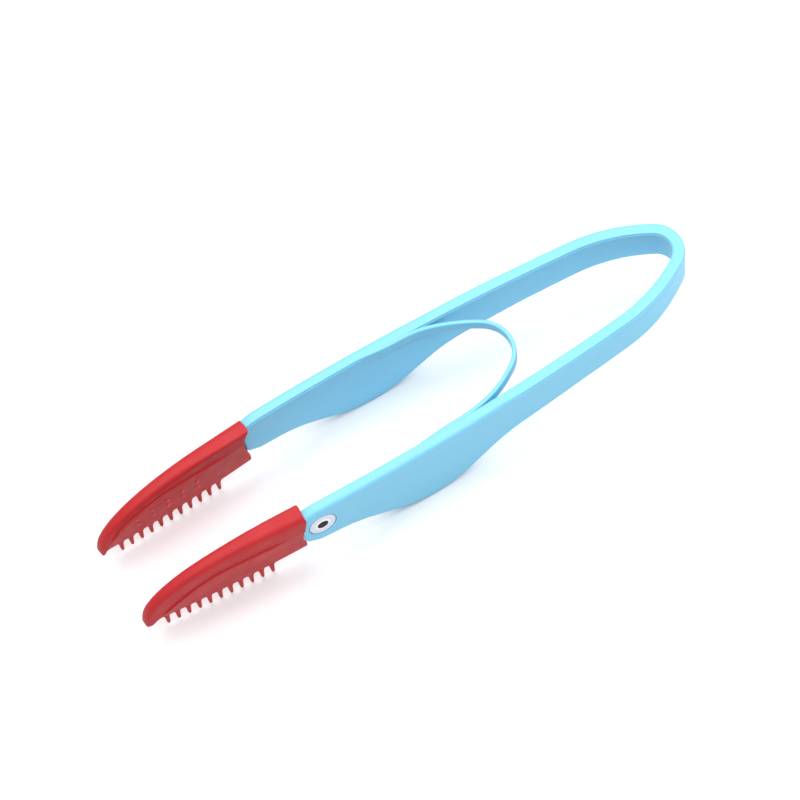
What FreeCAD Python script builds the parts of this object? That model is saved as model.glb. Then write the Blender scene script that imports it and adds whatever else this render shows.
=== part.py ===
import FreeCAD, Part
import math
import os

# Sprung print tongs: one U-shaped plastic strip standing on edge, with a thin hairpin spring
# between its arms and a soft beak-shaped sleeve on each tip.
# Millimetres. X runs from the tips (-) to the bow (+), Y across the arms, Z up from the surface
# that the finger blades rest on. The tongs are a mirror image about the plane Y = 0.

V = FreeCAD.Vector

# Overall
TIP_X = -110.7
BOW_X = 109.95
TOP_Z = 29.8

# Plan of the strip, as tangent arcs of its outer top edge, from the bow's end to the tips
ARC_RADII = (10.9, 62.4, 925.0)
ARC_TURNS = (56.9, 27.6, 8.3)
LAND_THICKNESS = 3.8
LEDGE_WIDTH = 0.3
LEDGE_DEPTH = 0.7

# Lower edge of the strip, as depth below the top edge: a polyline with rounded corners
NECK_X = -53.5
NECK_DEPTH = 14.2
LOWER_CORNERS = (
    (-45.8, 18.2, 5.0),
    (-31.8, 19.3, 36.0),
    (-2.5, 32.89, 29.0),
    (27.0, 18.6, 38.0),
    (56.0, 16.2, 200.0),
)
BOW_DEPTH = 13.9

# Top edge of the arm, which curves down just before the sleeve
SHOULDER_X = -43.0
SHOULDER_RADIUS = 17.0

# Bending points of the strip, modelled as close-fitting round knuckles
KNUCKLE_CLEARANCE = 0.06

# Hairpin spring between the arms, on its centreline
SPRING_APEX_X = 42.8
SPRING_RADII = (12.2, 47.0)
SPRING_TURNS = (54.0, 36.0)
SPRING_THICKNESS = 1.55
SPRING_HEIGHT = 4.2
SPRING_DROP = 1.4
SPRING_ROOT_GAP = 0.06

# Soft sleeve: a tapered beak, seen from above and from the side
SLEEVE_BACK = V(-50.1, 19.4, 0)
SLEEVE_BACK_HALF = 3.4
SLEEVE_OVERLAP = 4.0
NOSE = V(-111.1, 15.7, 0)
NOSE_RADIUS = 2.2
BEAK_POLES = ((-66.0, 0.3), (-88.0, 0.3), (-109.0, -6.5), (TIP_X, -19.5))
KEEL_ARC = ((-49.6, -22.5), (-81.0, -23.6), (-110.1, -22.0))
MOUTH_ARC = ((-48.7, 1.0), (-51.0, -9.5), (-49.4, -18.0))
INNER_RIDGE_DEPTH = 5.7
OUTER_RIDGE_DEPTH = 7.8
RIDGE_STEP = 0.3
KEEL_HALF = 0.8
KEEL_NARROW_DEPTH = 24.5
OUTER_TOP_ROUND = 1.8
INNER_TOP_ROUND = 0.8

# Spikes below the keel and studs on the gripping face
SPIKE_COUNT = 11
SPIKE_FIRST_X = -63.6
SPIKE_PITCH = 3.887
SPIKE_LENGTH = 6.1
SPIKE_ROOT_RADIUS = 0.92
SPIKE_TIP_RADIUS = 0.6
SPIKE_ROOT = 1.5
STUD_COLUMNS = 5
STUD_FIRST_X = -71.4
STUD_PITCH = 5.9
STUD_DEPTHS = (11.1, 15.2)
STUD_RADIUS = 0.7
STUD_SINK = 0.2

# Tongue of the arm inside its sleeve
TONGUE_HALF = 1.5
TONGUE_ROOT = 8.0
TONGUE_END_X = -97.0
TONGUE_TOP = (2.4, 9.6)
TONGUE_BOTTOM = (13.2, 14.0)
TONGUE_CLEARANCE = 0.1

# Round inlay on each arm's outer face
INLAY_X = -43.8
INLAY_DEPTH_BELOW_TOP = 9.05
INLAY_RADIUS = 4.85
PUPIL_RADIUS = 2.0
RECESS_DEPTH = 0.8
INLAY_PROUD = 0.12
PUPIL_PROUD = 0.2
INLAY_CLEARANCE = 0.04

# Margins of the cutting shapes, all larger than the tongs themselves
REACH = 60.0
MARGIN = 5.0


def turn(angle, length=1.0):
    """A vector of that length in plan, at an angle in degrees from +X."""
    return V(length * math.cos(math.radians(angle)), length * math.sin(math.radians(angle)), 0)


def chain(apex_x, radii, turns):
    """Tangent arcs from the apex on the X axis: (centre, radius, first and last normal angle)."""
    found = []
    centre = V(apex_x - radii[0], 0, 0)
    angle = 0.0
    for i, radius in enumerate(radii):
        if i:
            centre = centre + turn(angle, radii[i - 1] - radius)
        found.append((centre, radius, angle, angle + turns[i]))
        angle += turns[i]
    return found


STRIP = chain(BOW_X, ARC_RADII, ARC_TURNS)
SPRING = chain(SPRING_APEX_X, SPRING_RADII, SPRING_TURNS)


def arc(centre, radius, first, last):
    middle = (first + last) / 2
    ends = [centre + turn(a, radius) for a in (first, middle, last)]
    return Part.Arc(*ends).toShape()


def band(arcs, outward, inward):
    """Face between two offsets of a chain of arcs."""
    outer = [arc(c, r + outward, a, b) for c, r, a, b in arcs]
    inner = [arc(c, r - inward, a, b) for c, r, a, b in arcs]
    first, last = arcs[0], arcs[-1]
    ends = [
        Part.makeLine(c + turn(a, r + outward), c + turn(a, r - inward))
        for c, r, a in ((first[0], first[1], first[2]), (last[0], last[1], last[3]))
    ]
    return Part.Face(Part.Wire(Part.__sortEdges__(outer + ends + inner)))


def mirrored(shape):
    return shape.mirror(V(0, 0, 0), V(0, 1, 0))


def prism(face, low, high):
    """Plan face raised to stand between two heights."""
    return face.translated(V(0, 0, low)).extrude(V(0, 0, high - low))


def rounded_path(corners):
    """Edges through (point, radius) corners, each corner rounded by a tangent arc."""
    edges = []
    start = corners[0][0]
    for i in range(1, len(corners) - 1):
        corner, radius = corners[i]
        back = (corners[i - 1][0] - corner).normalize()
        onward = (corners[i + 1][0] - corner).normalize()
        half = back.getAngle(onward) / 2
        reach = radius / math.tan(half)
        bisector = (back + onward).normalize()
        middle = corner + bisector * (radius / math.sin(half) - radius)
        first, last = corner + back * reach, corner + onward * reach
        edges.append(Part.makeLine(start, first))
        edges.append(Part.Arc(first, middle, last).toShape())
        start = last
    edges.append(Part.makeLine(start, corners[-1][0]))
    return edges


def side(x, depth):
    """Point of a side view, at a depth below the strip's top edge."""
    return V(x, 0, TOP_Z - depth)


def side_prism(edges, low_y, high_y):
    face = Part.Face(Part.Wire(Part.__sortEdges__(edges)))
    return face.translated(V(0, low_y, 0)).extrude(V(0, high_y - low_y, 0))


def strip_side():
    """Everything above the strip's lower edge, seen from the side."""
    corners = [(side(NECK_X, NECK_DEPTH), 0)]
    corners += [(side(x, depth), radius) for x, depth, radius in LOWER_CORNERS]
    corners += [(side(BOW_X, BOW_DEPTH), 0)]
    edges = rounded_path(corners)
    around = [
        corners[-1][0],
        side(BOW_X + MARGIN, BOW_DEPTH),
        side(BOW_X + MARGIN, -MARGIN),
        side(NECK_X, -MARGIN),
        corners[0][0],
    ]
    edges += Part.makePolygon(around).Edges
    return side_prism(edges, -REACH, REACH)


def shoulder_cutter():
    """Everything above the arc in which the arm's top edge curves down to the sleeve."""
    centre = V(SHOULDER_X, 0, TOP_Z - SHOULDER_RADIUS)
    drum = Part.makeCylinder(SHOULDER_RADIUS, REACH, centre, V(0, 1, 0))
    corner = V(SHOULDER_X - SHOULDER_RADIUS, 0, TOP_Z - SHOULDER_RADIUS)
    block = Part.makeBox(SHOULDER_RADIUS, REACH, SHOULDER_RADIUS + MARGIN, corner)
    return block.cut(drum)


def strip(arcs):
    """Stretch of the strip: a full-thickness body with a slightly narrower land on top."""
    body_thickness = LAND_THICKNESS + LEDGE_WIDTH
    body = prism(band(arcs, LEDGE_WIDTH, body_thickness), -MARGIN, TOP_Z - LEDGE_DEPTH)
    land = prism(band(arcs, 0, LAND_THICKNESS), TOP_Z - LEDGE_DEPTH, TOP_Z)
    return body.fuse(land).removeSplitter()


def bending_axis():
    """Foot of the left bending axis: the middle of the strip where the bow meets the arm."""
    centre, outer_radius, _, angle = STRIP[1]
    return centre + turn(angle, outer_radius - LAND_THICKNESS / 2)


def knuckle(clearance):
    """Round post on the left bending axis, as thick as the strip."""
    radius = LAND_THICKNESS / 2 + LEDGE_WIDTH + clearance
    return Part.makeCylinder(radius, TOP_Z + MARGIN, bending_axis())


def bow():
    """The bent end of the strip, with a hollow socket at each end for the arms' knuckles."""
    half = strip(STRIP[:2])
    half = half.cut(knuckle(KNUCKLE_CLEARANCE))
    whole = half.fuse(mirrored(half)).removeSplitter()
    return whole.common(strip_side())


def mouth_cutter(clearance):
    """Everything on the tip's side of the line where the sleeve meets the arm."""
    first, middle, last = [side(x - clearance, -z) for x, z in MOUTH_ARC]
    front_x, high_z = TIP_X - MARGIN, TOP_Z + MARGIN
    low, far_low = V(last.x, 0, -MARGIN), V(front_x, 0, -MARGIN)
    high, far_high = V(first.x, 0, high_z), V(front_x, 0, high_z)
    edges = [
        Part.Arc(first, middle, last).toShape(),
        Part.makeLine(last, low),
        Part.makeLine(low, far_low),
        Part.makeLine(far_low, far_high),
        Part.makeLine(far_high, high),
        Part.makeLine(high, first),
    ]
    return side_prism(edges, 0, REACH)


def sleeve_frame(distance, offset):
    """Point in plan, at a distance from the sleeve's back end and an offset from its axis."""
    along = (NOSE - SLEEVE_BACK).normalize()
    outward = V(along.y, -along.x, 0)
    return SLEEVE_BACK + along * distance + outward * offset


def tongue(clearance):
    """Flat tongue that carries the sleeve, straight along the sleeve's axis."""
    half = TONGUE_HALF + clearance
    first = -TONGUE_ROOT
    last = (SLEEVE_BACK.x - TONGUE_END_X) + clearance
    corners = [
        sleeve_frame(first, -half),
        sleeve_frame(last, -half),
        sleeve_frame(last, half),
        sleeve_frame(first, half),
    ]
    plan = Part.Face(Part.makePolygon(corners + corners[:1]))
    back_x, front_x = SLEEVE_BACK.x + MARGIN, TONGUE_END_X - MARGIN
    outline = [
        side(back_x, TONGUE_TOP[0] - clearance),
        side(front_x, TONGUE_TOP[1] - clearance),
        side(front_x, TONGUE_BOTTOM[1] + clearance),
        side(back_x, TONGUE_BOTTOM[0] + clearance),
    ]
    profile = side_prism(Part.makePolygon(outline + outline[:1]).Edges, 0, REACH)
    return prism(plan, 0, TOP_Z).common(profile)


def inlay_post(radius, low, high):
    """Round post square to the left arm's outer face, between two heights above that face."""
    centre, outer_radius, _, _ = STRIP[2]
    angle = 180 - math.degrees(math.acos((centre.x - INLAY_X) / (outer_radius + LEDGE_WIDTH)))
    surface = centre + turn(angle, outer_radius + LEDGE_WIDTH)
    surface.z = TOP_Z - INLAY_DEPTH_BELOW_TOP
    normal = turn(angle)
    return Part.makeCylinder(radius, high - low, surface + normal * low, normal)


def left_arm():
    """Arm with its finger blade, rounded knuckle end, inlay recess and tongue."""
    arm = strip(STRIP[2:])
    rounded_end = strip(STRIP[1:2]).common(knuckle(0))
    arm = arm.fuse(rounded_end).removeSplitter()
    arm = arm.common(strip_side())
    arm = arm.cut(mouth_cutter(0)).cut(shoulder_cutter())
    arm = arm.fuse(tongue(0)).removeSplitter()
    return arm.cut(inlay_post(INLAY_RADIUS + INLAY_CLEARANCE, -RECESS_DEPTH, MARGIN))


def left_inlay():
    """White disc in the arm's recess, with a round hole for its dark centre."""
    disc = inlay_post(INLAY_RADIUS, -RECESS_DEPTH, INLAY_PROUD)
    return disc.cut(inlay_post(PUPIL_RADIUS + INLAY_CLEARANCE, -MARGIN, MARGIN))


def left_pupil():
    return inlay_post(PUPIL_RADIUS, -RECESS_DEPTH, PUPIL_PROUD)


def half_beak(half_back, nose_radius, way, height):
    """Plan outline of one side of the beak at a height, from its axis outwards."""
    length = (NOSE - SLEEVE_BACK).Length - nose_radius
    lean = math.atan2(half_back, length) - math.asin(nose_radius / math.hypot(length, half_back))
    bulge = (lean + math.pi / 2) / 2
    tangent, middle = [
        sleeve_frame(length + nose_radius * math.sin(a), way * nose_radius * math.cos(a))
        for a in (lean, bulge)
    ]
    tip = sleeve_frame(length + nose_radius, 0)
    back_axis = sleeve_frame(-SLEEVE_OVERLAP, 0)
    back_side = sleeve_frame(-SLEEVE_OVERLAP, way * half_back)
    edges = [
        Part.makeLine(back_axis, back_side),
        Part.makeLine(back_side, tangent),
        Part.Arc(tangent, middle, tip).toShape(),
        Part.makeLine(tip, back_axis),
    ]
    return Part.Wire(edges).translated(V(0, 0, height))


def beak_side():
    """Side outline of the beak: curved top, blunt nose and a slightly bellied keel."""
    poles = [side(x, -z) for x, z in BEAK_POLES]
    top = Part.BezierCurve()
    top.setPoles(poles)
    keel = [side(x, -z) for x, z in KEEL_ARC]
    back_x = SLEEVE_BACK.x + MARGIN
    back_low, back_high = V(back_x, 0, keel[0].z), V(back_x, 0, poles[0].z)
    edges = [
        top.toShape(),
        Part.makeLine(poles[-1], keel[-1]),
        Part.Arc(*reversed(keel)).toShape(),
        Part.makeLine(keel[0], back_low),
        Part.makeLine(back_low, back_high),
        Part.makeLine(back_high, poles[0]),
    ]
    return side_prism(edges, 0, REACH)


def half_sleeve(way, ridge_depth):
    """Upper flank and tapered keel of one side of the beak."""
    upper = Part.Face(half_beak(SLEEVE_BACK_HALF, NOSE_RADIUS, way, TOP_Z - ridge_depth))
    upper = upper.extrude(V(0, 0, ridge_depth + MARGIN))
    keel_wide = SLEEVE_BACK_HALF + RIDGE_STEP
    wide = half_beak(keel_wide, NOSE_RADIUS, way, TOP_Z - ridge_depth)
    narrow = half_beak(KEEL_HALF, KEEL_HALF, way, TOP_Z - KEEL_NARROW_DEPTH)
    keel = Part.makeLoft([wide, narrow], True, True)
    return upper.fuse(keel)


def keel_height(x):
    """Height of the keel's lower edge at a place along the beak."""
    first, middle, last = [side(px, -pz) for px, pz in KEEL_ARC]
    circle = Part.Arc(first, middle, last).toShape().Curve
    return circle.Center.z - math.sqrt(circle.Radius**2 - (x - circle.Center.x) ** 2)


def axis_y(x):
    """Place across the tongs of the beak's axis at a place along it."""
    along = NOSE - SLEEVE_BACK
    return SLEEVE_BACK.y + along.y * (x - SLEEVE_BACK.x) / along.x


def spike(x):
    """Blunt tapered spike that hangs from the keel, rooted inside it."""
    root_z = keel_height(x) + SPIKE_ROOT
    tip_z = keel_height(x) - SPIKE_LENGTH + SPIKE_TIP_RADIUS
    foot = V(x, axis_y(x), tip_z)
    shaft = Part.makeCone(SPIKE_TIP_RADIUS, SPIKE_ROOT_RADIUS, root_z - tip_z, foot)
    return shaft.fuse(Part.makeSphere(SPIKE_TIP_RADIUS, foot))


def stud(x, depth):
    """Low round stud on the gripping face of the keel, a ball sunk into that face."""
    back_half = SLEEVE_BACK_HALF + RIDGE_STEP
    travel = (SLEEVE_BACK.x - x) / (SLEEVE_BACK.x - NOSE.x)
    wide = back_half + (NOSE_RADIUS - back_half) * travel
    share = (depth - INNER_RIDGE_DEPTH) / (KEEL_NARROW_DEPTH - INNER_RIDGE_DEPTH)
    offset = wide + (KEEL_HALF - wide) * share - STUD_SINK
    centre = V(x, axis_y(x) - offset, TOP_Z - depth)
    return Part.makeSphere(STUD_RADIUS, centre, V(0, 1, 0))


def rounded_top(sleeve, way, radius):
    """The sleeve with the long upper corner of one flank rounded."""
    corner = []
    for edge in sleeve.Edges:
        box = edge.BoundBox
        runs_along_top = box.XLength > 2 * SLEEVE_BACK_HALF + MARGIN and box.ZMax > TOP_Z
        if runs_along_top and way * (box.Center.y - axis_y(box.Center.x)) > 0:
            corner.append(edge)
    return sleeve.makeFillet(radius, corner)


def left_sleeve():
    """Soft beak with its mouth, tongue pocket, spikes and studs."""
    sleeve = half_sleeve(-1, INNER_RIDGE_DEPTH).fuse(half_sleeve(1, OUTER_RIDGE_DEPTH))
    sleeve = sleeve.removeSplitter().common(beak_side())
    sleeve = sleeve.common(mouth_cutter(TONGUE_CLEARANCE))
    sleeve = rounded_top(sleeve, 1, OUTER_TOP_ROUND)
    sleeve = rounded_top(sleeve, -1, INNER_TOP_ROUND)
    spikes = [spike(SPIKE_FIRST_X - SPIKE_PITCH * i) for i in range(SPIKE_COUNT)]
    studs = [
        stud(STUD_FIRST_X - STUD_PITCH * i, depth)
        for i in range(STUD_COLUMNS)
        for depth in STUD_DEPTHS
    ]
    sleeve = sleeve.fuse(spikes + studs).removeSplitter()
    return sleeve.cut(tongue(TONGUE_CLEARANCE))


def inner_spring(arm):
    """Thin hairpin strip whose two roots lie against the arms' inner faces."""
    half = SPRING_THICKNESS / 2
    top = TOP_Z - SPRING_DROP
    leg = prism(band(SPRING, half, half), top - SPRING_HEIGHT, top)
    gap = V(0, -SPRING_ROOT_GAP, 0)
    leg = leg.cut(arm).cut(arm.translated(gap))
    leg = max(leg.Solids, key=lambda solid: solid.Volume)
    return leg.fuse(mirrored(leg)).removeSplitter()


def single(shape, name):
    """The shape's one valid solid; anything else is an error."""
    if len(shape.Solids) != 1 or not shape.isValid():
        raise ValueError(name + " is not one valid solid")
    return shape.Solids[0]


def main():
    os.makedirs("parts", exist_ok=True)
    arm = left_arm()
    nodes = {"bow": bow(), "inner_spring": inner_spring(arm)}
    paired = {
        "arm": arm,
        "tip_sleeve": left_sleeve(),
        "eye_disc": left_inlay(),
        "eye_centre": left_pupil(),
    }
    for name, shape in paired.items():
        nodes["left_" + name] = shape
        nodes["right_" + name] = mirrored(shape)
    for name, shape in nodes.items():
        single(shape, name).exportStep(os.path.join("parts", name + ".step"))
    print("bending axis", bending_axis())


main()
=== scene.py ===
import math

import bmesh
import bpy
from mathutils import Matrix, Vector


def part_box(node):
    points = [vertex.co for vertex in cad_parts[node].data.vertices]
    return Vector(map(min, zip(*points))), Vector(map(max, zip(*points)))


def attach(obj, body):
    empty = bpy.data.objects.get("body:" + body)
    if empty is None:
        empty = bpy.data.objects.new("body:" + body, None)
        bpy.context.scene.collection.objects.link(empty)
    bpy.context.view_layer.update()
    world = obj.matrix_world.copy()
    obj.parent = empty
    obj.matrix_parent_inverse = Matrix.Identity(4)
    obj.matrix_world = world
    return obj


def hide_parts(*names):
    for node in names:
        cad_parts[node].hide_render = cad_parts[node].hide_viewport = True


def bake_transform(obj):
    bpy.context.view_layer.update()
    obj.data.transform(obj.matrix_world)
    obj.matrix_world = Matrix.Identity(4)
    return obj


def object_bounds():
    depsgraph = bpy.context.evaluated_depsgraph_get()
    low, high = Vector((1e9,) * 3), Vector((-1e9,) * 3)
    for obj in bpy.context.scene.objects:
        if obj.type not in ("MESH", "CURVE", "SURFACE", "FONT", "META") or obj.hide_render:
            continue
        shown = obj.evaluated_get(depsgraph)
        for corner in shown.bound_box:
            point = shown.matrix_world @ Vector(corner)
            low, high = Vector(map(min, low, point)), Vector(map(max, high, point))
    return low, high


# Looks of the sprung print tongs: a pale blue moulding, two soft red beak sleeves and two round eyes.
# Shapes are worked out in millimetres for the left side (+Y) and mirrored for the right, in the
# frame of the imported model: X from tips to bow, Z up. Depths are measured down from the top edge.
# Offsets are measured outwards, away from the middle plane between the arms.

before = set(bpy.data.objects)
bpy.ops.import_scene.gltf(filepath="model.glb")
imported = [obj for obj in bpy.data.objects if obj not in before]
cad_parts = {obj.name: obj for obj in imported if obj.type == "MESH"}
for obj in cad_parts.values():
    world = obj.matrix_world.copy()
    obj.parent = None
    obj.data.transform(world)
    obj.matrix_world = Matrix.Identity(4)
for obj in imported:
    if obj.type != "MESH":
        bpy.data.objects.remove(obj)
cad_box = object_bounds()

MM = 0.001
SIDES = {"left": 1, "right": -1}

arm_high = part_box("left_arm")[1] / MM
bow_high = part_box("bow")[1] / MM
sleeve_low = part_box("left_tip_sleeve")[0] / MM
spring_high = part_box("inner_spring")[1] / MM

TOP_Z = arm_high.z
TIP_X = sleeve_low.x

# Strip, in plan as tangent arcs of its outer top edge from the bow to the tips
LAND_THICKNESS = 3.8
LEDGE_WIDTH = 0.3
LEDGE_DEPTH = 0.7
LAND_ROUND = 0.2
SHELF_ROUND = 0.07
STRIP_RADII = (10.9, 62.4, 925.0)
STRIP_TURNS = (56.9, 27.6, 8.1)
STRIP_STEPS = (60, 40, 170)
STRIP_SHARP_ANGLE = 38.0
SOFT_EDGE_RADIUS = 1.6
SOFT_EDGE_FROM_X = 36.0
SOFT_EDGE_FULL_X = 22.0
LAND_SHARES = (1 / 3, 2 / 3)
LEDGE_ROUND_POINTS = 3
CORNER_POINTS = 2 * LEDGE_ROUND_POINTS + 2
LOWER_ROUND = 0.7
LOWER_POINTS = 5
FACE_SHARES = (0.06, 0.25, 0.5, 0.75, 0.94)
BOW_DRAFT = 0.85
BOW_DRAFT_FROM_X = 84.0
BOW_DRAFT_FULL_X = 106.0
SHOULDER_X = -43.0
SHOULDER_RADIUS = 17.0

# How the arm draws in behind the sleeve's mouth: share drawn in, and over how far inside
NARROW_SHARE = 0.5
NARROW_REACH = (0.0, 0.7)
SHALLOW_SHARE = 0.15
SHALLOW_REACH = (0.8, 1.8)

# Lower edge of the strip: a polyline of (x, depth, corner radius)
LOWER_CORNERS = (
    (-70.0, 5.7, 0.0),
    (-45.8, 18.2, 5.0),
    (-31.8, 19.3, 36.0),
    (-2.5, 32.89, 29.0),
    (27.0, 18.6, 38.0),
    (56.0, 16.2, 200.0),
    (120.0, 13.4, 0.0),
)

# Inner spring, on its centreline
SPRING_THICKNESS = 1.55
SPRING_HEIGHT = 4.2
SPRING_DROP = 1.4
SPRING_ROOT_DROP = 0.06
SPRING_ROOT_FULL_X = 15.0
SPRING_ROOT_FROM_X = 32.0
SPRING_RADII = (12.2, 47.0)
SPRING_TURNS = (54.0, 36.0)
SPRING_STEPS = (54, 40)
SPRING_TAIL = 22.0
SPRING_TAIL_STEPS = 16
SPRING_TAIL_SINK = 1.7
SPRING_ROUND = 0.5
SPRING_CORNER_POINTS = 4
SPRING_FACE_SHARES = (0.33, 0.67)

# Sleeve: a tapered beak along an axis in plan, with a curved top and a ridge down each flank
SLEEVE_BACK = Vector((-50.1, 19.4))
SLEEVE_NOSE = Vector((-111.1, 15.7))
SLEEVE_BACK_HALF = 3.4
NOSE_RADIUS = 2.2
TOP_RISE = 0.3
NOSE_SETBACK = 0.24
NOSE_LEAST_HALF_SQUARED = 0.04
TOP_LINE_STEPS = 200
KEEL_LINE_STEPS = 60
BEAK_POLES = ((-66.0, -TOP_RISE), (-88.0, -TOP_RISE), (-109.0, 6.5), (TIP_X + NOSE_SETBACK, 19.0))
KEEL_ENDS = ((-49.6, 22.5), (-110.1, 21.5))
KEEL_BELLY = 1.3
MOUTH_ARC = ((-48.6, -1.0), (-50.9, 10.0), (-49.4, 18.0))
OUTER_MOUTH_SKEW = 1.5
INNER_MOUTH_SKEW = 0.8
MOUTH_SKEW_FADE = (5.0, 17.0)
MOUTH_SKEW_DEPTH = (-0.3, 2.5)
MOUTH_INSETS = (0.45, 0.12)
MOUTH_EDGE = 0.35
NOSE_CAP = (-0.22, 0.02)
NOSE_CAP_INSET = 0.25
MOUTH_PULL_STATIONS = 16
KEEL_HALF = 1.05
KEEL_ROUND = 0.6
SLEEVE_STATIONS = 84
SLEEVE_SHARP_ANGLE = 35.0
SOFT_SHARP_ANGLE = 60.0

# Upper corners of the sleeve, rounded more outside; the inner one widens towards the nose
OUTER_TOP_ROUND = 3.0
INNER_TOP_ROUNDS = (1.1, 2.3)
INNER_WIDENS_FROM = 56.0
INNER_WIDENS_TO = 82.0
TOP_ROUND_SHARE = 0.62
TOP_ROUND_POINTS = 6
TOP_FLAT_SHARE = 0.6
WIDE_FLANK_SHARE = 0.86
NARROW_FLANK_SHARE = 0.8

# Ridge along each flank, by way (1 outer, -1 inner): level depth, where it bends down, and
# (depth gained, distance, power) of that bend
RIDGE_STEP = 0.6
RIDGE_LEVEL = {1: 7.8, -1: 5.7}
RIDGE_BEND_X = {1: -79.0, -1: -85.0}
RIDGE_BEND = {1: (8.6, 23.0, 1.8), -1: (10.3, 21.4, 2.8)}
RIDGE_END_X = {1: -103.5, -1: -106.0}
RIDGE_FADE_IN = (54.5, 63.0)
RIDGE_FADE_OUT = (-2.0, 1.5)
RIDGE_LOWEST_SHARE = 0.86
RIDGE_HIGHEST_SHARE = 0.2
RIDGE_SEARCH_STEPS = 24

# Rows of a flank: the ridge as (distance below it, share of its step), and the rounded keel as
# (share of the way round, share of its half width)
RIDGE_PROFILE = ((-0.2, 0.0), (-0.02, 0.04), (0.0, 0.9), (0.14, 1.0))
KEEL_PROFILE = ((0.7, 0.72), (1.0, 0.3))
KEEL_SHORT_SLICE = 3.0
KEEL_SHORT_START = 0.75
UPPER_FLANK_ROWS = 3
LOWER_FLANK_ROWS = 5

# Open mouth of the sleeve under the arm, as (half width, depth) at its top and bottom
HOLLOW_TOP = (1.75, 9.0)
HOLLOW_BOTTOM = (0.75, 19.6)
HOLLOW_FROM_X = -44.0
HOLLOW_TO_X = -56.0

# Spikes under the keel, with the flare as (radius, height above the keel), and studs on the
# gripping face, with the foot as (share of the radius, height above that face)
SPIKE_COUNT = 11
SPIKE_FIRST_X = -63.6
SPIKE_PITCH = 3.887
SPIKE_LENGTH = 6.1
SPIKE_ROOT_RADIUS = 0.92
SPIKE_TIP_RADIUS = 0.6
SPIKE_FLARE = ((1.7, 1.4), (1.7, 0.7), (1.5, 0.1), (1.2, -0.45), (1.02, -0.95))
SPIKE_FLARE_LENGTH = 1.6
SPIKE_SHARES = (0.0, 0.35, 0.7, 1.0)
SPIKE_TIP_ANGLES = (35, 65, 85)
SPIKE_SIDES = 20
SPIKE_SIDE_LIMIT = 0.94
STUD_COLUMNS = 5
STUD_FIRST_X = -71.4
STUD_PITCH = 5.9
STUD_DEPTHS = (11.1, 15.2)
STUD_RADIUS = 0.8
STUD_HEIGHT = 0.6
STUD_FOOT = ((1.15, -0.4), (1.1, 0.0))
STUD_ANGLES = (25, 50, 72, 88)
STUD_SIDES = 18
STUD_AXIS = Vector((0.0, -1.0, -0.15))

# Round eye on the arm's outer face, with profiles as (radius, height above that face)
EYE_X = -43.8
EYE_DEPTH = 9.05
EYE_RECESS_RADIUS = 5.2
EYE_DISC_RADIUS = 4.82
EYE_LIP_RADIUS = 2.6
EYE_CENTRE_RADIUS = 2.0
TURNED_SHARP_ANGLE = 50.0
EYE_SIDES = 96
EYE_CENTRE_SIDES = 64
EYE_RECESS_PROFILE = ((EYE_RECESS_RADIUS, -0.55), (EYE_RECESS_RADIUS, 1.0))
EYE_LIP_PROFILE = (
    (EYE_CENTRE_RADIUS, -0.5),
    (EYE_CENTRE_RADIUS, 0.14),
    (EYE_CENTRE_RADIUS + 0.08, 0.24),
    (EYE_LIP_RADIUS - 0.2, 0.26),
    (EYE_LIP_RADIUS, 0.2),
    (EYE_LIP_RADIUS + 0.12, 0.08),
    (EYE_LIP_RADIUS + 0.12, -0.5),
)
EYE_DISC_PROFILE = (
    (EYE_LIP_RADIUS + 0.06, -0.46),
    (EYE_LIP_RADIUS + 0.06, 0.08),
    (EYE_DISC_RADIUS - 0.5, 0.08),
    (EYE_DISC_RADIUS - 0.16, 0.05),
    (EYE_DISC_RADIUS - 0.04, -0.02),
    (EYE_DISC_RADIUS, -0.14),
    (EYE_DISC_RADIUS, -0.46),
)
EYE_CENTRE_PROFILE = (
    (EYE_CENTRE_RADIUS, -0.5),
    (EYE_CENTRE_RADIUS, 0.02),
    (EYE_CENTRE_RADIUS - 0.08, 0.1),
    *[(EYE_CENTRE_RADIUS * share, 0.12 + 0.1 * (1 - share**2)) for share in (0.8, 0.55, 0.3, 0.06)],
)


# ---------------------------------------------------------------- small geometry helpers


def smooth(value, start, end):
    """0 before start, 1 after end, and an even S between them."""
    t = min(1.0, max(0.0, (value - start) / (end - start)))
    return t * t * (3 - 2 * t)


def mix(a, b, share):
    return a + (b - a) * share


def direction(angle):
    """Unit vector in plan at an angle in degrees from +X."""
    return Vector((math.cos(math.radians(angle)), math.sin(math.radians(angle))))


def arc_stations(apex_x, radii, turns, steps):
    """Points and outward normals along tangent arcs that start at an apex on the X axis."""
    stations = []
    centre = Vector((apex_x - radii[0], 0.0))
    angle = 0.0
    for i, radius in enumerate(radii):
        if i:
            centre = centre + direction(angle) * (radii[i - 1] - radius)
        for k in range(1 if i else 0, steps[i] + 1):
            normal = direction(angle + turns[i] * k / steps[i])
            stations.append((centre + normal * radius, normal))
        angle += turns[i]
    return stations


def corner_circle(before, corner, after):
    """Tangent circle of a rounded corner: (first x, last x, centre, radius, side of the centre)."""
    here = Vector(corner[:2])
    back = (Vector(before[:2]) - here).normalized()
    onward = (Vector(after[:2]) - here).normalized()
    half = back.angle(onward) / 2
    reach = corner[2] / math.tan(half)
    centre = here + (back + onward).normalized() * (corner[2] / math.sin(half))
    side = 1 if centre.y < here.y else -1
    return (here + back * reach).x, (here + onward * reach).x, centre, corner[2], side


LOWER_CIRCLES = [
    corner_circle(*LOWER_CORNERS[i - 1 : i + 2]) for i in range(1, len(LOWER_CORNERS) - 1)
]


def lower_depth(x):
    """Depth of the strip's lower edge at a place along X."""
    for first, last, centre, radius, side in LOWER_CIRCLES:
        if first <= x <= last:
            return centre.y + side * math.sqrt(radius**2 - (x - centre.x) ** 2)
    for before, after in zip(LOWER_CORNERS, LOWER_CORNERS[1:]):
        if x <= after[0]:
            share = (x - before[0]) / (after[0] - before[0])
            return mix(before[1], after[1], share)
    return LOWER_CORNERS[-1][1]


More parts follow.
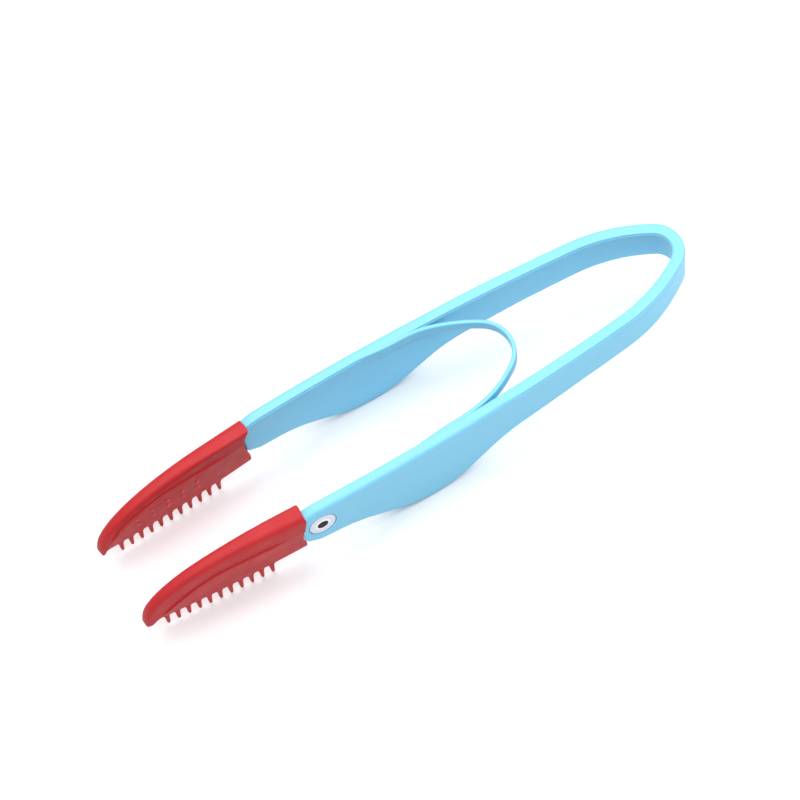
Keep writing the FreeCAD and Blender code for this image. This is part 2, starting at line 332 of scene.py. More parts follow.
def shoulder_drop(x):
    """How far the arm's top edge has curved down towards the sleeve."""
    past = min(SHOULDER_RADIUS, max(0.0, SHOULDER_X - x))
    return SHOULDER_RADIUS - math.sqrt(SHOULDER_RADIUS**2 - past**2)


def circle_through(a, b, c):
    """Centre and radius of the circle through three points in a plane."""
    a, b, c = Vector(a), Vector(b), Vector(c)
    d = 2 * (a.x * (b.y - c.y) + b.x * (c.y - a.y) + c.x * (a.y - b.y))
    aa, bb, cc = a.length_squared, b.length_squared, c.length_squared
    x = (aa * (b.y - c.y) + bb * (c.y - a.y) + cc * (a.y - b.y)) / d
    y = (aa * (c.x - b.x) + bb * (a.x - c.x) + cc * (b.x - a.x)) / d
    centre = Vector((x, y))
    return centre, (a - centre).length


MOUTH_CENTRE, MOUTH_RADIUS = circle_through(*MOUTH_ARC)


def mouth_x(depth):
    """Where the sleeve's back end lies, a shallow scallop seen from the side."""
    depth = min(max(depth, MOUTH_ARC[0][1]), MOUTH_ARC[2][1])
    return MOUTH_CENTRE.x - math.sqrt(MOUTH_RADIUS**2 - (depth - MOUTH_CENTRE.y) ** 2)


def rounded(centre, radius, first, last, count):
    """Points of an arc in a cross-section, by angle in degrees: 0 is outwards and 90 is up."""
    points = []
    for k in range(count):
        a = math.radians(mix(first, last, k / (count - 1)))
        points.append((centre[0] + radius * math.cos(a), centre[1] - radius * math.sin(a)))
    return points


# ---------------------------------------------------------------- meshes


def skin(rings, ending="flat"):
    """Points and faces of a tube through equal closed rings.

    A flat ending closes each end with one face. A ladder ending joins the two halves of the end
    ring crosswise, for ends that aren't flat. A loop ending joins the last ring to the first."""
    size, count = len(rings[0]), len(rings)
    points = [point for ring in rings for point in ring]
    faces = []
    for r in range(count if ending == "loop" else count - 1):
        a, b = r * size, (r + 1) % count * size
        for i in range(size):
            j = (i + 1) % size
            faces.append((a + i, a + j, b + j, b + i))
    if ending == "loop":
        return points, faces
    for start, flip in ((0, True), ((count - 1) * size, False)):
        if ending == "ladder":
            cap = [
                (start + i, start + i + 1, start + size - i - 2, start + size - i - 1)
                for i in range(size // 2 - 1)
            ]
        else:
            cap = [tuple(start + i for i in range(size))]
        faces += [tuple(reversed(face)) if flip else face for face in cap]
    return points, faces


def lathe(profile, centre, axis, count, ending="flat"):
    """Points and faces of a (radius, height) profile turned about an axis."""
    axis = axis.normalized()
    across = axis.orthogonal().normalized()
    beside = axis.cross(across)
    rings = []
    for radius, height in profile:
        ring = []
        for k in range(count):
            a = 2 * math.pi * k / count
            spoke = across * math.cos(a) + beside * math.sin(a)
            ring.append(centre + axis * height + spoke * radius)
        rings.append(ring)
    return skin(rings, ending)


def joined(shapes):
    """Several (points, faces) as one."""
    points, faces = [], []
    for more_points, more_faces in shapes:
        offset = len(points)
        points += more_points
        faces += [tuple(offset + i for i in face) for face in more_faces]
    return points, faces


def make_mesh(name, shape, side, sharp_angle=STRIP_SHARP_ANGLE):
    """Object from points in millimetres on the left side, mirrored when side is -1."""
    points, faces = shape
    mesh = bpy.data.meshes.new(name)
    mesh.from_pydata([(p[0] * MM, p[1] * MM * side, p[2] * MM) for p in points], [], faces)
    work = bmesh.new()
    work.from_mesh(mesh)
    bmesh.ops.recalc_face_normals(work, faces=work.faces)
    work.to_mesh(mesh)
    work.free()
    mesh.shade_smooth()
    mesh.set_sharp_from_angle(angle=math.radians(sharp_angle))
    piece = bpy.data.objects.new(name, mesh)
    bpy.context.scene.collection.objects.link(piece)
    return piece


def cut_away(piece, cutter, sharp_angle):
    """Cuts one closed mesh out of another, and keeps only the result of all modifiers."""
    boolean = piece.modifiers.new("cut", "BOOLEAN")
    boolean.operation = "DIFFERENCE"
    boolean.solver = "EXACT"
    boolean.object = cutter
    bpy.context.view_layer.update()
    evaluated = piece.evaluated_get(bpy.context.evaluated_depsgraph_get())
    result = bpy.data.meshes.new_from_object(evaluated)
    piece.modifiers.clear()
    piece.data = result
    result.shade_smooth()
    result.set_sharp_from_angle(angle=math.radians(sharp_angle))
    bpy.data.objects.remove(cutter)


def subdivide(piece, levels):
    surface = piece.modifiers.new("subdivision", "SUBSURF")
    surface.levels = levels
    surface.render_levels = levels


# ---------------------------------------------------------------- the moulding


def ledge_corner():
    """Outer top corner with a small ledge, as (offset, depth) from the land's outer edge."""
    points = rounded((-LAND_ROUND, LAND_ROUND), LAND_ROUND, 90, 0, LEDGE_ROUND_POINTS)
    points.append((0.0, LEDGE_DEPTH - SHELF_ROUND))
    points.append((SHELF_ROUND / 2, LEDGE_DEPTH))
    shelf = (LEDGE_WIDTH - SHELF_ROUND, LEDGE_DEPTH + SHELF_ROUND)
    return points + rounded(shelf, SHELF_ROUND, 90, 0, LEDGE_ROUND_POINTS)


def soft_corner():
    """Outer top corner rounded for the fingers, with as many points as the ledge."""
    centre = (LEDGE_WIDTH - SOFT_EDGE_RADIUS, SOFT_EDGE_RADIUS)
    return rounded(centre, SOFT_EDGE_RADIUS, 90, 0, CORNER_POINTS)


def strip_section(softness):
    """Closed cross-section as (offset, depth, share): depth counts down from share of full depth."""
    outer = [
        (mix(a[0], b[0], softness), mix(a[1], b[1], softness))
        for a, b in zip(ledge_corner(), soft_corner())
    ]
    inner = [(-LAND_THICKNESS - o, d) for o, d in ledge_corner()]
    section = []
    for share in LAND_SHARES:
        section.append((mix(inner[0][0], outer[0][0], share), 0.0, 0.0))
    section += [(o, d, 0.0) for o, d in outer]
    outer_face, inner_face = outer[-1], inner[-1]
    for share in FACE_SHARES:
        section.append((outer_face[0], mix(outer_face[1], -LOWER_ROUND, share), share))
    low_out = (outer_face[0] - LOWER_ROUND, -LOWER_ROUND)
    low_in = (inner_face[0] + LOWER_ROUND, -LOWER_ROUND)
    section += [(o, d, 1.0) for o, d in rounded(low_out, LOWER_ROUND, 0, -90, LOWER_POINTS)]
    section += [(o, d, 1.0) for o, d in rounded(low_in, LOWER_ROUND, -90, -180, LOWER_POINTS)]
    for share in reversed(FACE_SHARES):
        section.append((inner_face[0], mix(inner_face[1], -LOWER_ROUND, share), share))
    section += [(o, d, 0.0) for o, d in reversed(inner)]
    return section


def strip_ring(place, normal):
    """Cross-section placed on the plan curve, drawn in where it enters the sleeve."""
    softness = 1 - smooth(place.x, SOFT_EDGE_FULL_X, SOFT_EDGE_FROM_X)
    draft = BOW_DRAFT * smooth(place.x, BOW_DRAFT_FROM_X, BOW_DRAFT_FULL_X)
    middle = -LAND_THICKNESS / 2
    inner, outer = -LAND_THICKNESS - LEDGE_WIDTH, LEDGE_WIDTH
    ring = []
    for offset, depth, share in strip_section(softness):
        offset -= draft * share * (offset - inner) / (outer - inner)
        spot = place + normal * offset
        full = lower_depth(spot.x)
        depth += mix(shoulder_drop(spot.x), full, share)
        inside = mouth_x(depth) - spot.x
        spot = place + normal * mix(offset, middle, NARROW_SHARE * smooth(inside, *NARROW_REACH))
        depth = mix(depth, full / 2, SHALLOW_SHARE * smooth(inside, *SHALLOW_REACH))
        ring.append(Vector((spot.x, spot.y, TOP_Z - depth)))
    return ring


def half_moulding():
    """Half of the U-shaped strip, from the bow's apex to inside the sleeve."""
    apex = bow_high.x - LEDGE_WIDTH
    stations = arc_stations(apex, STRIP_RADII, STRIP_TURNS, STRIP_STEPS)
    return skin([strip_ring(place, normal) for place, normal in stations])


def spring_section(top_depth):
    """Rounded rectangle of the inner spring as (offset, depth)."""
    half, r = SPRING_THICKNESS / 2, SPRING_ROUND
    low = top_depth + SPRING_HEIGHT
    count = SPRING_CORNER_POINTS
    points = rounded((-half + r, top_depth + r), r, 180, 90, count)
    points += rounded((half - r, top_depth + r), r, 90, 0, count)
    points += [(half, mix(top_depth, low, share)) for share in SPRING_FACE_SHARES]
    points += rounded((half - r, low - r), r, 0, -90, count)
    points += rounded((-half + r, low - r), r, -90, -180, count)
    points += [(-half, mix(low, top_depth, share)) for share in SPRING_FACE_SHARES]
    return points


def half_spring():
    """Half of the hairpin, from its apex to the root that sinks into the arm's inner face."""
    apex = spring_high.x - SPRING_THICKNESS / 2
    stations = arc_stations(apex, SPRING_RADII, SPRING_TURNS, SPRING_STEPS)
    last, normal = stations[-1]
    for k in range(1, SPRING_TAIL_STEPS + 1):
        share = k / SPRING_TAIL_STEPS
        sink = SPRING_TAIL_SINK * smooth(share, 0, 1)
        stations.append((last + Vector((-SPRING_TAIL * share, sink)), normal))
    rings = []
    for place, normal in stations:
        root = 1 - smooth(place.x, SPRING_ROOT_FULL_X, SPRING_ROOT_FROM_X)
        ring = []
        for offset, depth in spring_section(mix(SPRING_DROP, SPRING_ROOT_DROP, root)):
            spot = place + normal * offset
            ring.append(Vector((spot.x, spot.y, TOP_Z - depth)))
        rings.append(ring)
    return skin(rings)


def eye_frame():
    """Centre of the eye on the arm's outer face, and the face's outward direction."""
    centre = Vector((bow_high.x - LEDGE_WIDTH - STRIP_RADII[0], 0.0))
    angle = 0.0
    for i in (1, 2):
        angle += STRIP_TURNS[i - 1]
        centre = centre + direction(angle) * (STRIP_RADII[i - 1] - STRIP_RADII[i])
    reach = STRIP_RADII[2] + LEDGE_WIDTH
    out = direction(90 + math.degrees(math.asin((centre.x - EYE_X) / reach)))
    spot = centre + out * reach
    return Vector((spot.x, spot.y, TOP_Z - EYE_DEPTH)), Vector((out.x, out.y, 0.0))


def eye_piece(profile, sides=EYE_SIDES, ending="flat"):
    """A turned piece of the eye, square to the arm's outer face."""
    centre, out = eye_frame()
    return lathe(profile, centre, out, sides, ending)


# ---------------------------------------------------------------- the sleeve


def bezier(poles, t):
    """Point of a cubic curve with four poles, t from 0 to 1."""
    weights = ((1 - t) ** 3, 3 * t * (1 - t) ** 2, 3 * t**2 * (1 - t), t**3)
    x = sum(w * p[0] for w, p in zip(weights, poles))
    y = sum(w * p[1] for w, p in zip(weights, poles))
    return Vector((x, y))


def evenly(points, count):
    """That many points at even distances along a polyline."""
    lengths = [0.0]
    for a, b in zip(points, points[1:]):
        lengths.append(lengths[-1] + (b - a).length)
    found, k = [], 0
    for i in range(count):
        want = lengths[-1] * i / (count - 1)
        while k < len(points) - 2 and lengths[k + 1] < want:
            k += 1
        share = (want - lengths[k]) / (lengths[k + 1] - lengths[k])
        found.append(points[k].lerp(points[k + 1], min(1.0, share)))
    return found


def top_line():
    """Top of the beak from the side, as (x, depth) from back to nose."""
    straight = [Vector((mouth_x(-TOP_RISE), -TOP_RISE))]
    curve = [bezier(BEAK_POLES, k / TOP_LINE_STEPS) for k in range(TOP_LINE_STEPS + 1)]
    return evenly(straight + curve, SLEEVE_STATIONS)


def keel_depth(x):
    """Depth of the keel's slightly bellied lower edge."""
    (back_x, back_depth), (nose_x, nose_depth) = KEEL_ENDS
    share = (x - back_x) / (nose_x - back_x)
    return mix(back_depth, nose_depth, share) + KEEL_BELLY * 4 * share * (1 - share)


def keel_line():
    """Lower edge of the beak from the side, as (x, depth) from back to nose."""
    (back_x, _), (nose_x, _) = KEEL_ENDS
    places = [mix(back_x, nose_x, k / KEEL_LINE_STEPS) for k in range(KEEL_LINE_STEPS + 1)]
    return evenly([Vector((x, keel_depth(x))) for x in places], SLEEVE_STATIONS)


def sleeve_half(x):
    """Half width of the beak in plan: a straight taper that ends in a round nose."""
    nose_x = SLEEVE_NOSE.x + NOSE_RADIUS
    if x < nose_x:
        return math.sqrt(max(NOSE_LEAST_HALF_SQUARED, NOSE_RADIUS**2 - (nose_x - x) ** 2))
    share = (SLEEVE_BACK.x - x) / (SLEEVE_BACK.x - nose_x)
    return mix(SLEEVE_BACK_HALF, NOSE_RADIUS, share)


def sleeve_point(x, offset, depth):
    """Point of the left sleeve at an offset from its axis, outwards positive."""
    along = (SLEEVE_NOSE - SLEEVE_BACK).normalized()
    outward = Vector((along.y, -along.x))
    spot = SLEEVE_BACK + along * ((x - SLEEVE_BACK.x) / along.x) + outward * offset
    return Vector((spot.x, spot.y, TOP_Z - depth))


def ridge_depth(x, way):
    """Depth of the ridge along a flank: level, then bending down towards the nose."""
    gain, distance, power = RIDGE_BEND[way]
    return RIDGE_LEVEL[way] + gain * max(0.0, (RIDGE_BEND_X[way] - x) / distance) ** power


def ridge_share(x, way):
    """How far the ridge stands out: it fades in from the back and out at the nose."""
    fade_from, fade_to = [reach - RIDGE_END_X[way] for reach in RIDGE_FADE_OUT]
    return smooth(-x, *RIDGE_FADE_IN) * (1 - smooth(-x, fade_from, fade_to))


def ridge_place(top, keel, way):
    """Share of the way down a slice at which it meets the ridge."""
    low, high = 0.0, RIDGE_LOWEST_SHARE
    for _ in range(RIDGE_SEARCH_STEPS):
        half = (low + high) / 2
        spot = top.lerp(keel, half)
        if spot.y < ridge_depth(spot.x, way):
            low = half
        else:
            high = half
    return max(low, RIDGE_HIGHEST_SHARE)


def flank(top, keel, way):
    """One side of a slice from top to keel, as (share of the way down, offset)."""
    height = (keel - top).length
    place = ridge_place(top, keel, way)
    ridge = top.lerp(keel, place)
    step = RIDGE_STEP * ridge_share(ridge.x, way)
    half = sleeve_half(top.x)
    limit = TOP_ROUND_SHARE * place * height
    if way > 0:
        radius = min(OUTER_TOP_ROUND, WIDE_FLANK_SHARE * half, limit)
    else:
        widened = smooth(-ridge.x, INNER_WIDENS_FROM, INNER_WIDENS_TO)
        radius = min(mix(*INNER_TOP_ROUNDS, widened), NARROW_FLANK_SHARE * half, limit)
    rows = [(0.0, 0.0), (0.0, TOP_FLAT_SHARE * (half - radius))]
    for k in range(TOP_ROUND_POINTS):
        a = math.radians(90 * k / (TOP_ROUND_POINTS - 1))
        share = radius * (1 - math.cos(a)) / height
        rows.append((share, half - radius + radius * math.sin(a)))
    start = rows[-1][0]
    for k in range(1, UPPER_FLANK_ROWS):
        share = mix(start, place, k / UPPER_FLANK_ROWS)
        rows.append((share, sleeve_half(top.lerp(keel, share).x)))
    wide = sleeve_half(ridge.x)
    for distance, share in RIDGE_PROFILE:
        rows.append((place + distance / height, wide + share * step))
    first = rows[-1][0]
    low = 1 - KEEL_ROUND / height if height > KEEL_SHORT_SLICE * KEEL_ROUND else KEEL_SHORT_START
    keel_half = min(KEEL_HALF, NARROW_FLANK_SHARE * sleeve_half(keel.x))
    for k in range(1, LOWER_FLANK_ROWS + 1):
        share = k / LOWER_FLANK_ROWS
        rows.append((mix(first, low, share), mix(wide + step, keel_half, share)))
    for turned, share in KEEL_PROFILE:
        rows.append((mix(low, 1, turned), share * keel_half))
    return rows


def slice_ring(top, keel, pull, inset):
    """Closed ring of a slice: the outer flank down, then the inner flank up."""
    ring = []
    for way in (1, -1):
        side = []
        for share, offset in flank(top, keel, way):
            spot = top.lerp(keel, share)
            scallop = mouth_x(spot.y) - mouth_x(top.y)
            skew = OUTER_MOUTH_SKEW if way > 0 else -INNER_MOUTH_SKEW
            skew *= offset / SLEEVE_BACK_HALF * smooth(spot.y, *MOUTH_SKEW_DEPTH)
            x = spot.x + pull * (scallop + skew * (1 - smooth(spot.y, *MOUTH_SKEW_FADE)))
            centre = top.lerp(keel, 0.5)
            depth = mix(spot.y, centre.y, inset / (keel - top).length)
            side.append(sleeve_point(x, way * max(0.0, offset - inset), depth))
        ring += side if way > 0 else list(reversed(side))
    return ring


def sleeve_body():
    """Skin of the beak: slices that fan from its back end to its nose."""
    tops, keels = top_line(), keel_line()
    rings = [slice_ring(tops[0], keels[0], 1.0, inset) for inset in MOUTH_INSETS]
    edge = Vector((MOUTH_EDGE, 0.0))
    rings.append(slice_ring(tops[0] - edge, keels[0] - edge, 1.0, 0.0))
    for k in range(1, SLEEVE_STATIONS):
        pull = 1 - smooth(k, 0, MOUTH_PULL_STATIONS)
        rings.append(slice_ring(tops[k], keels[k], pull, 0.0))
    onward = Vector(NOSE_CAP)
    rings.append(slice_ring(tops[-1] + onward, keels[-1] + onward, 0.0, NOSE_CAP_INSET))
    return skin(rings, "ladder")


def sleeve_hollow():
    """Wedge that opens the sleeve's back end under the arm."""
    (top_half, top), (low_half, low) = HOLLOW_TOP, HOLLOW_BOTTOM
    corners = ((-top_half, top), (top_half, top), (low_half, low), (-low_half, low))
    rings = []
    for x in (HOLLOW_FROM_X, HOLLOW_TO_X):
        rings.append([sleeve_point(x, offset, depth) for offset, depth in corners])
    return skin(rings)


def spike(x):
    """Blunt tapered spike that flares along the keel where it leaves it."""
    profile = list(SPIKE_FLARE)
    straight = SPIKE_LENGTH - SPIKE_TIP_RADIUS
    for share in SPIKE_SHARES:
        radius = mix(SPIKE_ROOT_RADIUS, SPIKE_TIP_RADIUS, share)
        profile.append((radius, -mix(SPIKE_FLARE_LENGTH, straight, share)))
    for angle in SPIKE_TIP_ANGLES:
        a = math.radians(angle)
        tip = (SPIKE_TIP_RADIUS * math.cos(a), -straight - SPIKE_TIP_RADIUS * math.sin(a))
        profile.append(tip)
    foot = sleeve_point(x, 0.0, keel_depth(x))
    points, faces = lathe(profile, foot, Vector((0.0, 0.0, 1.0)), SPIKE_SIDES)
    for point in points:
        point.y = foot.y + max(-SPIKE_SIDE_LIMIT, min(SPIKE_SIDE_LIMIT, point.y - foot.y))
    return points, faces


def stud(x, depth):
    """Low round stud on the gripping face."""
    share = (depth - ridge_depth(x, -1)) / (keel_depth(x) - ridge_depth(x, -1))
    surface = mix(sleeve_half(x) + RIDGE_STEP, KEEL_HALF, share)
    profile = [(STUD_RADIUS * wider, height) for wider, height in STUD_FOOT]
    for angle in STUD_ANGLES:
        a = math.radians(angle)
        profile.append((STUD_RADIUS * math.cos(a), STUD_HEIGHT * math.sin(a)))
    return lathe(profile, sleeve_point(x, -surface, depth), STUD_AXIS, STUD_SIDES)


def spikes():
    return joined([spike(SPIKE_FIRST_X - SPIKE_PITCH * i) for i in range(SPIKE_COUNT)])


def studs():
    found = []
    for i in range(STUD_COLUMNS):
        found += [stud(STUD_FIRST_X - STUD_PITCH * i, depth) for depth in STUD_DEPTHS]
    return joined(found)


# ---------------------------------------------------------------- materials


# Middle part of a noise's values, over which a shader input is driven
NOISE_LOW = 0.3
NOISE_HIGH = 0.7


class Nodes:
    """Short names for building one procedural material."""

    def __init__(self, name):
        self.material = bpy.data.materials.new(name)
        self.material.use_nodes = True
        self.tree = self.material.node_tree
        self.shader = self.tree.nodes["Principled BSDF"]
        self.place = self.tree.nodes.new("ShaderNodeTexCoord").outputs["Object"]

    def noise(self, scale, detail=3.0, stretch=(1, 1, 1), roughness=0.5):
        mapping = self.tree.nodes.new("ShaderNodeMapping")
        mapping.inputs["Scale"].default_value = stretch
        self.tree.links.new(self.place, mapping.inputs["Vector"])
        noise = self.tree.nodes.new("ShaderNodeTexNoise")
        for setting, value in (("Scale", scale), ("Detail", detail), ("Roughness", roughness)):
            noise.inputs[setting].default_value = value
        self.tree.links.new(mapping.outputs["Vector"], noise.inputs["Vector"])
        return noise.outputs["Fac"]

    def ramp(self, source, stops):
        """Colour ramp between two (position, colour) stops."""
        ramp = self.tree.nodes.new("ShaderNodeValToRGB")
        for element, (position, colour) in zip(ramp.color_ramp.elements, stops):
            element.position = position
            element.color = (*colour, 1.0)
        self.tree.links.new(source, ramp.inputs["Fac"])
        return ramp.outputs["Color"]

    def blend(self, share, first, second):
        """Mix of two colour sockets, with that share of the second."""
        node = self.tree.nodes.new("ShaderNodeMix")
        node.data_type = "RGBA"
        node.inputs["Factor"].default_value = share
        self.tree.links.new(first, node.inputs["A"])
        self.tree.links.new(second, node.inputs["B"])
        return node.outputs["Result"]

    def set_range(self, source, low, high, name):
        """Drives one of the shader's inputs between two values."""
        node = self.tree.nodes.new("ShaderNodeMapRange")
        ends = {"From Min": NOISE_LOW, "From Max": NOISE_HIGH, "To Min": low, "To Max": high}
        for end, value in ends.items():
            node.inputs[end].default_value = value
        self.tree.links.new(source, node.inputs["Value"])
        self.tree.links.new(node.outputs["Result"], self.shader.inputs[name])

    def colour(self, socket):
        self.tree.links.new(socket, self.shader.inputs["Base Color"])

    def bump(self, *layers):
        """Bump from (height socket, distance in metres, strength) layers."""
        last = None
        for height, distance, strength in layers:
            node = self.tree.nodes.new("ShaderNodeBump")
            node.inputs["Distance"].default_value = distance
            node.inputs["Strength"].default_value = strength
            self.tree.links.new(height, node.inputs["Height"])
            if last is not None:
                self.tree.links.new(last, node.inputs["Normal"])
            last = node.outputs["Normal"]
        self.tree.links.new(last, self.shader.inputs["Normal"])

    def constant(self, **values):
        for name, value in values.items():
            self.shader.inputs[name.replace("_", " ")].default_value = value


def moulded_plastic():
    """Pale blue moulded plastic: fine mould grain, faint flow tint and fine handling marks."""
    n = Nodes("moulded_blue_plastic")
    flow = n.noise(18.0, 4.0, (0.5, 1, 1.4))
    mottle = n.noise(900.0, 2.0)
    base = n.ramp(flow, ((0.25, (0.172, 0.512, 0.715)), (0.75, (0.192, 0.547, 0.755))))
    speck = n.ramp(mottle, ((0.3, (0.166, 0.507, 0.715)), (0.7, (0.198, 0.552, 0.765))))
    n.colour(n.blend(0.35, base, speck))
    handling = n.noise(260.0, 6.0, (0.12, 1, 1), 0.65)
    n.set_range(handling, 0.36, 0.5, "Roughness")
    grain = n.noise(2600.0, 3.0)
    ripple = n.noise(55.0, 2.0, (0.4, 1, 0.4))
    n.bump((ripple, 0.0001, 0.25), (grain, 0.00003, 0.18))
    n.constant(IOR=1.49)
    return n.material


def soft_silicone(name, shine, low, high):
    """Soft red silicone between two reds: satin surface, fine grain, faint dust, slight depth."""
    n = Nodes(name)
    cloud = n.noise(70.0, 4.0)
    base = n.ramp(cloud, ((0.25, low), (0.75, high)))
    dust = n.noise(1500.0, 5.0, (1, 1, 1), 0.7)
    dusted = n.ramp(dust, ((0.62, (0.41, 0.019, 0.021)), (0.74, (0.5, 0.06, 0.068))))
    n.colour(n.blend(0.3, base, dusted))
    rub = n.noise(180.0, 5.0)
    n.set_range(rub, 0.46, 0.6, "Roughness")
    grain = n.noise(3200.0, 4.0)
    swell = n.noise(260.0, 2.0)
    n.bump((swell, 0.00008, 0.2), (grain, 0.00003, 0.25))
    n.constant(
        IOR=shine,
        Subsurface_Weight=0.12,
        Subsurface_Radius=(1.0, 0.25, 0.15),
        Subsurface_Scale=0.001,
    )
    return n.material


def eye_white(name, low, high):
    """Glossy off-white plastic with a faint unevenness between two tints."""
    n = Nodes(name)
    n.colour(n.ramp(n.noise(400.0, 3.0), ((0.3, low), (0.7, high))))
    n.set_range(n.noise(900.0, 4.0), 0.26, 0.34, "Roughness")
    n.bump((n.noise(3000.0, 3.0), 0.00001, 0.1))
    return n.material


def eye_dark():
    """Glossy near-black plastic with a faint violet cast."""
    n = Nodes("eye_dark_plastic")
    cloud = n.noise(700.0, 3.0)
    n.colour(n.ramp(cloud, ((0.3, (0.003, 0.002, 0.005)), (0.7, (0.008, 0.006, 0.011)))))
    n.set_range(n.noise(1100.0, 4.0), 0.22, 0.38, "Roughness")
    n.bump((n.noise(2600.0, 3.0), 0.00002, 0.2))
    n.constant(Specular_IOR_Level=0.1)
    return n.material


def floor_finish():
    """Plain pale sweep, a little uneven so that it isn't one flat colour."""
    n = Nodes("pale_floor")
    cloud = n.noise(3.0, 3.0)
    n.colour(n.ramp(cloud, ((0.3, (0.83, 0.83, 0.835)), (0.7, (0.85, 0.85, 0.855)))))
    n.constant(Roughness=0.9)
    return n.material


# ---------------------------------------------------------------- pieces on their bodies


def finish_piece(piece, material, slot, *nodes):
    piece.data.materials.clear()
    piece.data.materials.append(material)
    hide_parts(*nodes)


def build_side(name, side, looks):
    """All pieces of one side, each on its body."""
    arm = name + "_arm"

    half = make_mesh(name + "_half_moulding", half_moulding(), side)
    cutter = make_mesh(name + "_recess_cutter", eye_piece(EYE_RECESS_PROFILE), side)
    cut_away(half, cutter, STRIP_SHARP_ANGLE)
    finish_piece(half, looks["body"], "body", "bow", arm)
    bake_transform(half)

    spring = make_mesh(name + "_half_spring", half_spring(), side)
    finish_piece(spring, looks["body"], "body", "inner_spring")
    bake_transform(spring)

    sleeve = make_mesh(name + "_beak_sleeve", sleeve_body(), side)
    subdivide(sleeve, 1)
    hollow = make_mesh(name + "_hollow_cutter", sleeve_hollow(), side)
    cut_away(sleeve, hollow, SLEEVE_SHARP_ANGLE)
    finish_piece(sleeve, looks["sleeve"], "sleeve", name + "_tip_sleeve")
    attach(sleeve, arm)
    for part, shape, look in (("spikes", spikes(), "sleeve"), ("studs", studs(), "stud")):
        piece = make_mesh(name + "_sleeve_" + part, shape, side, SOFT_SHARP_ANGLE)
        finish_piece(piece, looks[look], "sleeve")
        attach(piece, arm)

    ring = eye_piece(EYE_DISC_PROFILE, ending="loop")
    disc = make_mesh(name + "_eye_ring", ring, side, TURNED_SHARP_ANGLE)
    finish_piece(disc, looks["eye_white"], "eye_white", name + "_eye_disc")
    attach(disc, arm)
    ring = eye_piece(EYE_LIP_PROFILE, ending="loop")
    lip = make_mesh(name + "_eye_lip", ring, side, TURNED_SHARP_ANGLE)
    finish_piece(lip, looks["eye_lip"], "eye_white")
    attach(lip, arm)
    dome = eye_piece(EYE_CENTRE_PROFILE, EYE_CENTRE_SIDES)
    centre = make_mesh(name + "_eye_dome", dome, side, TURNED_SHARP_ANGLE)
    finish_piece(centre, looks["eye_dark"], "eye_dark", name + "_eye_centre")
    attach(centre, arm)


# ---------------------------------------------------------------- floor, light and camera

FLOOR_HALF = 1.6
FLOOR_CELLS = 8
FLOOR_DROP = 0.0002
CAMERA_AZIMUTH = 17.6
CAMERA_ELEVATION = 61.05
CAMERA_ROLL = -14.18
CAMERA_DISTANCE = 1.79
CAMERA_TARGET = Vector((-0.0004, -0.0016, TOP_Z * MM))
FOCAL_LENGTH = 241.65
SENSOR_WIDTH = 36.0
CLIP_RANGE = (0.05, 20.0)
BACKGROUND_COLOUR = (0.96, 0.98, 1.0, 1.0)
BACKGROUND_STRENGTH = 0.46
# Disc lights aimed at the origin, as (place, size, power, colour)
LIGHTS = {
    "key": ((0.1, 0.12, 1.2), 2.0, 28.0, (1.0, 1.0, 1.0)),
    "fill": ((1.0, -0.25, 0.55), 0.8, 3.0, (0.98, 0.99, 1.0)),
}


def add_floor():
    mesh = bpy.data.meshes.new("floor")
    grid = bmesh.new()
    bmesh.ops.create_grid(grid, x_segments=FLOOR_CELLS, y_segments=FLOOR_CELLS, size=FLOOR_HALF)
    grid.to_mesh(mesh)
    grid.free()
    floor = bpy.data.objects.new("floor", mesh)
    floor.location.z = cad_box[0].z - FLOOR_DROP
    bpy.context.scene.collection.objects.link(floor)
    floor.data.materials.append(floor_finish())


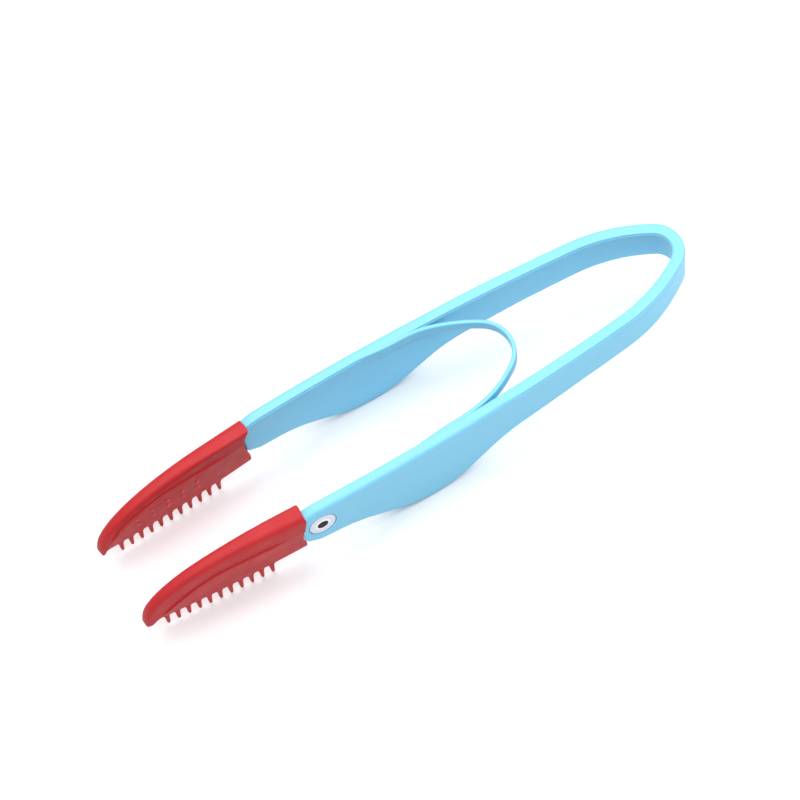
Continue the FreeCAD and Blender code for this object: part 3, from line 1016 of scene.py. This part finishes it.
def add_light(name, place, size, power, colour):
    light = bpy.data.lights.new(name, "AREA")
    light.shape = "DISK"
    light.size = size
    light.energy = power
    light.color = colour
    lamp = bpy.data.objects.new(name, light)
    lamp.location = place
    lamp.rotation_mode = "QUATERNION"
    lamp.rotation_quaternion = (-Vector(place)).to_track_quat("-Z", "Y")
    bpy.context.scene.collection.objects.link(lamp)


def add_studio():
    bpy.context.scene.view_settings.view_transform = "Standard"
    world = bpy.data.worlds.new("studio")
    bpy.context.scene.world = world
    world.use_nodes = True
    background = world.node_tree.nodes["Background"]
    background.inputs["Color"].default_value = BACKGROUND_COLOUR
    background.inputs["Strength"].default_value = BACKGROUND_STRENGTH
    for name, settings in LIGHTS.items():
        add_light(name, *settings)


def add_camera():
    e, a = math.radians(CAMERA_ELEVATION), math.radians(CAMERA_AZIMUTH)
    roll = math.radians(CAMERA_ROLL)
    forward = Vector((math.sin(a) * math.cos(e), math.cos(a) * math.cos(e), -math.sin(e)))
    level = Vector((math.cos(a), -math.sin(a), 0.0))
    upright = level.cross(forward)
    right = level * math.cos(roll) + upright * math.sin(roll)
    up = upright * math.cos(roll) - level * math.sin(roll)
    lens = bpy.data.cameras.new("camera")
    lens.lens = FOCAL_LENGTH
    lens.sensor_width = SENSOR_WIDTH
    lens.clip_start, lens.clip_end = CLIP_RANGE
    camera = bpy.data.objects.new("camera", lens)
    turned = Matrix((right, up, -forward)).transposed().to_4x4()
    camera.matrix_world = Matrix.Translation(CAMERA_TARGET - forward * CAMERA_DISTANCE) @ turned
    bpy.context.scene.collection.objects.link(camera)
    bpy.context.scene.camera = camera


looks = {
    "body": moulded_plastic(),
    "sleeve": soft_silicone("soft_red_silicone", 1.36, (0.43, 0.012, 0.016), (0.48, 0.016, 0.021)),
    # The studs get a lighter red than the sleeve: painted light standing in for the light that their
    # tops catch
    "stud": soft_silicone("painted_lit_red_silicone", 1.5, (0.62, 0.07, 0.08), (0.7, 0.09, 0.1)),
    "eye_white": eye_white("eye_white_plastic", (0.6, 0.67, 0.78), (0.64, 0.7, 0.8)),
    "eye_lip": eye_white("eye_lip_plastic", (0.86, 0.87, 0.88), (0.9, 0.9, 0.91)),
    "eye_dark": eye_dark(),
}
for name, side in SIDES.items():
    build_side(name, side, looks)
add_floor()
add_studio()
add_camera()
